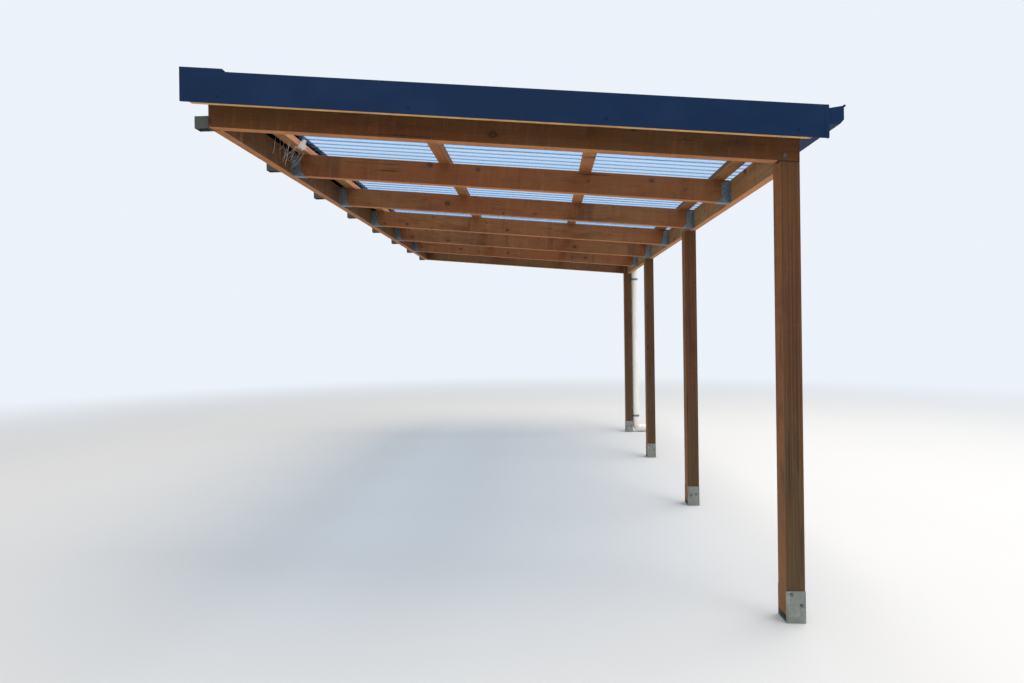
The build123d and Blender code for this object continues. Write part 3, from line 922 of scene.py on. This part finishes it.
def use(material, *nodes):
    """Gives nodes of the frame a material."""
    for node in nodes:
        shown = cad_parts[node]
        shown.data.materials.clear()
        shown.data.materials.append(material)


class PERGOLA_OT_finish_timber(bpy.types.Operator):
    """Stain every board and post, and ease their sawn edges"""

    bl_idname = "pergola.finish_timber"
    bl_label = "Finish Timber"

    def execute(self, context):
        look = context.scene.pergola_timber
        for timber in timbers(look):
            use(stained_pine(timber, look), timber.node)
            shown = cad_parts[timber.node]
            shown.modifiers.new("close_seams", "WELD").merge_threshold = 0.00002
            ease = shown.modifiers.new("eased_edges", "BEVEL")
            ease.width = look.arris_round
            ease.segments = 2
            ease.limit_method = "ANGLE"
            ease.angle_limit = math.radians(40)
        return {"FINISHED"}


class PERGOLA_OT_finish_metal(bpy.types.Operator):
    """Coat the flashings and the gutter, and galvanise or paint the fittings"""

    bl_idname = "pergola.finish_metal"
    bl_label = "Finish Metal"

    def execute(self, context):
        look = context.scene.pergola_metal
        coated = coated_steel("coated_sheet_steel", look.coated, look.dust)
        use(coated, "front_barge_flashing", "rear_barge_flashing", "gutter", "gutter_end_caps")
        use(coated_steel("coated_apron", look.coated, look.dust, look.apron_shade), "apron_flashing")
        anchors = zinc("galvanised_anchor", look.galvanised, metallic=0.55, dirt=0.45)
        use(anchors, *[f"post_anchor_{n}" for n in POSTS])
        hangers = zinc("weathered_hanger", look.weathered, metallic=0.60, dirt=0.35)
        use(hangers, "ledger_hangers", "beam_hangers", "gutter_straps", "downpipe_clips")
        use(painted_steel("painted_bracket_steel", look.bracket), "ledger_brackets")
        return {"FINISHED"}


class PERGOLA_OT_finish_plastic(bpy.types.Operator):
    """Give the downpipe its off-white plastic and the closure strip its foam"""

    bl_idname = "pergola.finish_plastic"
    bl_label = "Finish Plastic"

    def execute(self, context):
        use(gutter_plastic(), "downpipe", "downpipe_bend", "gutter_outlet")
        use(closure_foam(), "closure_strip")
        return {"FINISHED"}


def corrugated_sheet(number, sheet_count, look):
    """Points, quads and marks of one sheet: the height on its rib, and where it laps another.

    Down the fall runs s, across it y. The middle surface stands at depth times half of one
    minus the cosine of y in whole pitches, plus a faint wave down the fall. The upper and the
    lower surface lie half the thickness off it, and a rim joins them all round.
    """
    low, high = box_of(f"roof_sheet_{number}")
    width = high[1] - low[1]
    depth = SHEET_DEPTH + SHEET_THICKNESS
    height = depth * math.cos(FALL)
    length = (high[0] - low[0] - depth * math.sin(FALL)) / math.cos(FALL)
    stray_length = 0.89
    ribs = round(width / SHEET_PITCH)
    across = np.linspace(0, width, ribs * look.steps_across + 1)
    down = np.linspace(0, length, look.steps_down + 1)
    y, s = np.meshgrid(across, down)
    wave = 0.5 * (1 - np.cos(2 * np.pi * y / SHEET_PITCH))
    stray = look.waviness * np.sin(2 * np.pi * s / stray_length + number) * np.sin(np.pi * s / length)
    inset = look.waviness + SHEET_THICKNESS / 2
    lift = inset + (depth - 2 * inset) * wave + stray
    upper = lift + SHEET_THICKNESS / 2
    lower = lift - SHEET_THICKNESS / 2
    layers = []
    for rise in (upper, lower):
        x = low[0] + s * math.cos(FALL) + rise * math.sin(FALL)
        z = high[2] - height - s * math.sin(FALL) + rise * math.cos(FALL)
        layers.append(np.stack([x, low[1] + y, z], axis=-1).reshape(-1, 3))
    rows, columns = y.shape
    top = grid_quads(rows, columns)[:, ::-1]
    count = rows * columns
    border = np.concatenate([
        np.arange(columns),
        np.arange(1, rows) * columns + columns - 1,
        (rows - 1) * columns + np.arange(columns - 2, -1, -1),
        np.arange(rows - 2, 0, -1) * columns,
    ])
    following = np.roll(border, -1)
    rim = np.stack([border, following, following + count, border + count], axis=-1)
    quads = np.concatenate([top, top[:, ::-1] + count, rim])
    lap = (number > 1) * (y < SHEET_PITCH) + (number < sheet_count) * (y > width - SHEET_PITCH)
    marks = {"rib_height": np.tile(wave.ravel(), 2), "lap": np.tile(lap.ravel().astype(float), 2)}
    return np.concatenate(layers), quads, marks


class PERGOLA_OT_lay_sheets(bpy.types.Operator):
    """Lay the clear corrugated sheets as smooth surfaces"""

    bl_idname = "pergola.lay_sheets"
    bl_label = "Lay Roof Sheets"

    def execute(self, context):
        look = context.scene.pergola_sheets
        material = clear_sheet(look)
        count = count_sheets()
        for number in range(1, count + 1):
            points, quads, marks = corrugated_sheet(number, count, look)
            made = piece(f"smooth_sheet_{number}", points, quads, material)
            for mark, values in marks.items():
                made.data.attributes.new(mark, "FLOAT", "POINT")
                made.data.attributes[mark].data.foreach_set("value", values.astype(np.float32))
            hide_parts(f"roof_sheet_{number}")
        return {"FINISHED"}


class PERGOLA_OT_drive_sheet_screws(bpy.types.Operator):
    """Drive the screws of the flashings, the roof screws and the gutter's rivets"""

    bl_idname = "pergola.drive_sheet_screws"
    bl_label = "Drive Sheet Screws"

    def execute(self, context):
        sizes = context.scene.pergola_fixings
        look = context.scene.pergola_metal
        coated = coated_steel("coated_screw", times(look.coated, 0.6), look.dust)
        groups = [*self.flashing_screws(sizes), *self.gutter_rivets(sizes)]
        joined_piece("flashing_screws", groups, coated)
        steel = zinc("roof_screw_zinc", look.galvanised, metallic=0.6, dirt=0.25)
        joined_piece("roof_screws", [self.roof_screws(sizes)], steel)
        return {"FINISHED"}

    def flashing_screws(self, sizes):
        """Four screws along each barge flashing's face."""
        screw = hex_bolt(sizes.screw_head, sizes.screw_flange, 0.0008)
        above_rafter = 0.097
        along = (-2.667, -1.771, -0.870, -0.025)
        places = [(x, underside_height(x) + above_rafter) for x in along]
        front = box_of("front_barge_flashing")[0][1] + SHEET_THICKNESS
        rear = box_of("rear_barge_flashing")[1][1] - SHEET_THICKNESS
        return on_both_ends(screw, places, front, rear)

    def gutter_rivets(self, sizes):
        """Three rivets up each of the gutter's end caps."""
        rivet = dome_head(sizes.rivet_head, sizes.rivet_head * 0.45)
        low, high = box_of("gutter_end_caps")
        inner = low[0] + 0.008
        places = [(inner, low[2] + rise) for rise in (0.012, 0.030, 0.050)]
        return on_both_ends(rivet, places, low[1], high[1])

    def roof_screws(self, sizes):
        """A screw through every third crest, over the middle of each batten but the first."""
        screw = roof_screw(sizes.screw_head, sizes.roof_washer)
        washer_lift = 0.0016
        first_low, first_high = box_of("roof_sheet_1")
        last_high = box_of(f"roof_sheet_{count_sheets()}")[1]
        crests = np.arange(first_low[1] + SHEET_PITCH * 1.5, last_high[1], SHEET_PITCH * 3)
        places = []
        for number in BATTENS[1:]:
            x = middle_of(f"batten_{number}")[0]
            run = (x - first_low[0]) * math.tan(FALL)
            z = first_high[2] - run + washer_lift
            places += [(x, y, z) for y in crests]
        return many(screw, places, OFF_ROOF)


class PERGOLA_OT_fit_bolts(bpy.types.Operator):
    """Fit the bolts of the posts, the beam and the post anchors"""

    bl_idname = "pergola.fit_bolts"
    bl_label = "Fit Bolts"

    def execute(self, context):
        sizes = context.scene.pergola_fixings
        look = context.scene.pergola_metal
        steel = zinc("galvanised_bolt", times(look.weathered, 0.6), metallic=0.5, dirt=0.60)
        groups = [*self.anchor_bolts(sizes), *self.post_bolts(sizes)]
        joined_piece("galvanised_bolts", groups, steel)
        return {"FINISHED"}

    def anchor_bolts(self, sizes):
        """Two bolts right through each anchor and post, with the nuts at the rear."""
        head = hex_bolt(sizes.bolt_head, sizes.bolt_washer)
        nut = bolt_with_nut(sizes.bolt_head, sizes.bolt_washer, stub=0.008)
        groups = []
        for number in POSTS:
            low, high = box_of(f"post_anchor_{number}")
            groups += on_both_ends(head, ANCHOR_BOLTS[number % 2], low[1], high[1], nut)
        return groups

    def post_bolts(self, sizes):
        """Bolts through the end rafters and the beam into the posts that carry them."""
        head = hex_bolt(sizes.coach_head, sizes.coach_washer)
        front = box_of("front_rafter")[0][1]
        rear = box_of("rear_rafter")[1][1]
        outer = box_of("outer_beam")[1][0]
        over_post = -0.025
        beam_height = 2.205
        places = [(over_post, z) for z in (2.195, 2.276)]
        quarter = POST_WIDTH / 4
        ends = (middle_of("post_1")[1] + quarter, middle_of("post_4")[1] - quarter)
        beam_bolts = many(head, [(outer, y, beam_height) for y in ends], TO_GUTTER)
        return [*on_both_ends(head, places, front, rear), beam_bolts]


class PERGOLA_OT_drive_nails(bpy.types.Operator):
    """Drive the nails of the hangers and of the end rafters"""

    bl_idname = "pergola.drive_nails"
    bl_label = "Drive Nails"

    def execute(self, context):
        sizes = context.scene.pergola_fixings
        look = context.scene.pergola_metal
        nail = dome_head(sizes.nail_head, sizes.nail_head * 0.35)
        groups = [*self.hanger_nails(nail), *self.rafter_nails(nail)]
        steel = painted_steel("dull_nail", times(look.bracket, 0.6))
        joined_piece("nails", groups, steel, smooth=True)
        return {"FINISHED"}

    def hanger_nails(self, nail):
        """Two staggered rows in each side plate, and three nails in each flange."""
        rows = [(0.013, rise) for rise in (0.045, 0.075, 0.105)]
        rows += [(0.034, rise) for rise in (0.055, 0.085, 0.115)]
        plate = 0.002
        flange_reach = 0.040
        half = TIMBER_THICKNESS / 2 + plate
        ledger_face = box_of("ledger")[1][0]
        beam_face = box_of("outer_beam")[0][0]
        side_front, side_rear, to_gutter, to_house = [], [], [], []
        for y in rafter_middles()[1:-1]:
            for face, towards, flange in ((ledger_face, 1, to_gutter), (beam_face, -1, to_house)):
                spots = [(face + towards * reach, rise) for reach, rise in rows]
                side_front += [(x, y - half, underside_height(x) + rise) for x, rise in spots]
                side_rear += [(x, y + half, underside_height(x) + rise) for x, rise in spots]
                heights = [underside_height(face) + rise for rise in (0.025, 0.065, 0.105)]
                x = face + towards * plate
                flange += [(x, y + side, z) for side in (-flange_reach, flange_reach) for z in heights]
        return [
            many(nail, side_front, TO_FRONT),
            many(nail, side_rear, TO_REAR),
            many(nail, to_gutter, TO_GUTTER),
            many(nail, to_house, TO_HOUSE),
        ]

    def rafter_nails(self, nail):
        """Three nails where each end rafter laps the ledger's end."""
        x = middle_of("ledger")[0]
        places = [(x, underside_height(x) + rise) for rise in (0.020, 0.045, 0.100)]
        front = box_of("front_rafter")[0][1]
        rear = box_of("rear_rafter")[1][1]
        return on_both_ends(nail, places, front, rear)


def strand(start, end, sag, radius, steps=14, sides=5):
    """Thread between two points.

    Its line is the straight one lowered by sag times four t times one minus t. A circle is
    carried along it, whose radius follows the fifth root of a sine and ends in a point.
    """
    t = np.linspace(0, 1, steps)[:, None]
    start, end = np.array(start, float), np.array(end, float)
    line = start + (end - start) * t
    line[:, 2] -= sag * 4 * t[:, 0] * (1 - t[:, 0])
    tangent = np.gradient(line, axis=0)
    tangent /= np.linalg.norm(tangent, axis=1)[:, None]
    side = np.cross(tangent, (0.31, 0.27, 0.91))
    side /= np.linalg.norm(side, axis=1)[:, None]
    above = np.cross(side, tangent)
    angle = np.arange(sides) * 2 * np.pi / sides
    taper = radius * np.sin(np.pi * t) ** 0.2
    taper[[0, -1]] = 0.0
    cosine, sine = np.cos(angle)[None, :, None], np.sin(angle)[None, :, None]
    ring = cosine * side[:, None, :] + sine * above[:, None, :]
    points = line[:, None, :] + taper[:, :, None] * ring
    return points.reshape(-1, 3), grid_quads(steps, sides, True)


class PERGOLA_OT_spin_cobweb(bpy.types.Operator):
    """Spin the cobweb between the first batten, the sheets and the ledger"""

    bl_idname = "pergola.spin_cobweb"
    bl_label = "Spin Cobweb"

    def execute(self, context):
        random = np.random.default_rng(COBWEB_SEED)
        threads = [*self.corner_threads(random), *self.bundle(random)]
        joined_piece("cobweb", threads, cobweb(), smooth=True, merge=0.000001)
        return {"FINISHED"}

    def corner_threads(self, random):
        """Threads from the first batten's underside to the ledger, near the second rafter."""
        ledger_face = box_of("ledger")[1][0]
        low, high = box_of("batten_1")
        rafter = box_of("rafter_2")[0][1]
        threads = []
        for _ in range(CORNER_THREADS):
            from_rafter = random.uniform(0.06, 0.42)
            drop = random.uniform(0.02, 0.12)
            under_batten = random.uniform(low[0] + 0.004, high[0] - 0.006)
            start = (under_batten, rafter - from_rafter, low[2] + 0.002)
            end = (
                ledger_face + 0.001,
                rafter - from_rafter * random.uniform(0.3, 0.9),
                underside_height(ledger_face) + TIMBER_DEPTH - 0.001 - drop,
            )
            sag = random.uniform(0.004, 0.035)
            radius = random.uniform(0.0002, 0.0004)
            threads.append(strand(start, end, sag, radius))
        return threads

    def bundle(self, random):
        """White tangle from the sheets down over the first batten's edge, in the first bay."""
        low, high = box_of("batten_1")
        middle = box_of("front_rafter")[1][1] + 0.64
        top = low[2] + BATTEN_THICKNESS / math.cos(FALL)
        threads = []
        for _ in range(BUNDLE_THREADS):
            start = (
                high[0] + 0.042 + random.uniform(-0.010, 0.010),
                middle + random.uniform(-0.016, 0.016),
                top - 0.006 - random.uniform(0.0, 0.006),
            )
            end = (
                high[0] - 0.006 + random.uniform(-0.034, 0.012),
                middle + 0.045 + random.uniform(-0.022, 0.075),
                low[2] - random.uniform(0.001, 0.010),
            )
            sag = random.uniform(0.006, 0.016)
            radius = random.uniform(0.0003, 0.0008)
            threads.append(strand(start, end, sag, radius))
        return threads


class PERGOLA_OT_set_stage(bpy.types.Operator):
    """Set the floor, the lamps, the surround and the camera"""

    bl_idname = "pergola.set_stage"
    bl_label = "Set Stage"

    def execute(self, context):
        look = context.scene.pergola_stage
        self.lay_floor(look)
        self.set_surround(context.scene, look)
        warm, cool = (1.0, 0.975, 0.94), (0.97, 0.98, 1.0)
        self.lamp("key", (3.0, 1.6, 13.0), (-1.0, 2.4, 0.0), 12.0, look.key_power, warm)
        self.lamp("fill", (-5.5, -17.0, 9.0), (-1.35, 2.6, 1.6), 9.0, look.fill_power, cool)
        self.set_camera(context.scene)
        context.scene.view_settings.view_transform = "Standard"
        return {"FINISHED"}

    def lay_floor(self, look):
        """Flat floor, far wider than the part.

        The camera and gloss see its plain tone, which fades with distance into the backdrop,
        and all other light meets the paler bounce tone.
        """
        half = 60.0
        lines = 9
        line = np.linspace(-half, half, lines)
        x, y = np.meshgrid(line, line)
        points = np.stack([x, y, np.zeros_like(x)], axis=-1).reshape(-1, 3)
        mesh = bpy.data.meshes.new("studio_floor")
        mesh.from_pydata(points.tolist(), [], grid_quads(lines, lines).tolist())
        floor = bpy.data.objects.new("studio_floor", mesh)
        bpy.context.scene.collection.objects.link(floor)
        finish = Finish("studio_floor")
        tone = finish.cloud((0.8, 0.8, 0.8), (0, 0, 0), 3.0)
        shade = finish.mix(tone, look.floor, times(look.floor, 1.04))
        plain = finish.surface(shade, 0.9, Specular_IOR_Level=0.1)
        far = finish.node("ShaderNodeEmission", None, {0: opaque(look.backdrop), 1: 1.0}).outputs[0]
        middle = (-1.3, 2.6, 0)
        sockets = {0: finish.place, 1: middle}
        from_middle = finish.node("ShaderNodeVectorMath", {"operation": "DISTANCE"}, sockets)
        distance = Signal(finish, from_middle.outputs["Value"])
        seen = finish.blend(distance.rise(look.fade_start, look.fade_end), plain, far)
        bounce = finish.surface(opaque(look.bounce), 1.0, Specular_IOR_Level=0.0)
        mesh.materials.append(finish.finished(finish.blend(finish.looked_at(), bounce, seen)))

    def set_surround(self, scene, look):
        """World that lights softly, and that the camera, gloss and glass see as the backdrop."""
        finish = Finish("studio_world", "worlds")
        light, seen = [
            finish.node("ShaderNodeBackground", None, {0: opaque(colour), 1: strength}).outputs[0]
            for colour, strength in ((look.surround, look.surround_strength), (look.backdrop, 1.0))
        ]
        shader = finish.blend(finish.looked_at(), light, seen)
        scene.world = finish.finished(shader, "ShaderNodeOutputWorld")

    def lamp(self, name, place, target, size, power, colour):
        """Square soft lamp that looks at a point."""
        data = bpy.data.lights.new(name, "AREA")
        data.size = size
        data.energy = power
        data.color = colour
        lamp = bpy.data.objects.new(name, data)
        lamp.location = place
        lamp.rotation_euler = (Vector(target) - Vector(place)).to_track_quat("-Z", "Y").to_euler()
        bpy.context.scene.collection.objects.link(lamp)

    def set_camera(self, scene):
        """Camera where the photograph was taken from."""
        data = bpy.data.cameras.new("photo_camera")
        data.sensor_width = SENSOR_WIDTH
        data.lens = SENSOR_WIDTH * FOCAL_PIXELS / FRAME_WIDTH
        data.shift_y = (HORIZON_ROW - FRAME_HEIGHT / 2) / FRAME_WIDTH
        camera = bpy.data.objects.new("photo_camera", data)
        forward = Vector((
            -math.sin(CAMERA_YAW) * math.cos(CAMERA_PITCH),
            math.cos(CAMERA_YAW) * math.cos(CAMERA_PITCH),
            math.sin(CAMERA_PITCH),
        ))
        level = Vector((math.cos(CAMERA_YAW), math.sin(CAMERA_YAW), 0))
        above = level.cross(forward)
        right = math.cos(CAMERA_ROLL) * level + math.sin(CAMERA_ROLL) * above
        up = math.cos(CAMERA_ROLL) * above - math.sin(CAMERA_ROLL) * level
        turn = Matrix((right, up, -forward)).transposed().to_4x4()
        camera.matrix_world = Matrix.Translation(CAMERA_PLACE) @ turn
        bpy.context.scene.collection.objects.link(camera)
        scene.camera = camera


class PERGOLA_PT_tools(bpy.types.Panel):
    """Sizes, colours and steps of the pergola's finishes"""

    bl_idname = "PERGOLA_PT_tools"
    bl_label = "Lean-to Pergola"
    bl_space_type = "VIEW_3D"
    bl_region_type = "UI"
    bl_category = "Pergola"

    def draw(self, context):
        layout = self.layout
        for attribute in SETTINGS:
            group = getattr(context.scene, attribute)
            box = layout.box()
            box.label(text=attribute.replace("pergola_", "").capitalize())
            for name in group.bl_rna.properties.keys():
                if name not in ("rna_type", "name"):
                    box.prop(group, name)
        for operator in OPERATORS:
            layout.operator(operator.bl_idname)


SETTINGS = {
    "pergola_timber": PergolaTimber,
    "pergola_metal": PergolaMetal,
    "pergola_sheets": PergolaSheets,
    "pergola_fixings": PergolaFixings,
    "pergola_stage": PergolaStage,
}
OPERATORS = (
    PERGOLA_OT_finish_timber,
    PERGOLA_OT_finish_metal,
    PERGOLA_OT_finish_plastic,
    PERGOLA_OT_lay_sheets,
    PERGOLA_OT_drive_sheet_screws,
    PERGOLA_OT_fit_bolts,
    PERGOLA_OT_drive_nails,
    PERGOLA_OT_spin_cobweb,
    PERGOLA_OT_set_stage,
)


def register():
    """Adds the settings, the operators and the panel."""
    for group in SETTINGS.values():
        bpy.utils.register_class(group)
    for attribute, group in SETTINGS.items():
        setattr(bpy.types.Scene, attribute, PointerProperty(type=group))
    for operator in OPERATORS:
        bpy.utils.register_class(operator)
    bpy.utils.register_class(PERGOLA_PT_tools)


def unregister():
    """Takes them away again."""
    bpy.utils.unregister_class(PERGOLA_PT_tools)
    for operator in reversed(OPERATORS):
        bpy.utils.unregister_class(operator)
    for attribute, group in SETTINGS.items():
        delattr(bpy.types.Scene, attribute)
        bpy.utils.unregister_class(group)


def main():
    """Runs each step in order."""
    register()
    bpy.ops.pergola.finish_timber()
    bpy.ops.pergola.finish_metal()
    bpy.ops.pergola.finish_plastic()
    bpy.ops.pergola.lay_sheets()
    bpy.ops.pergola.drive_sheet_screws()
    bpy.ops.pergola.fit_bolts()
    bpy.ops.pergola.drive_nails()
    bpy.ops.pergola.spin_cobweb()
    bpy.ops.pergola.set_stage()


if __name__ == "__main__":
    main()
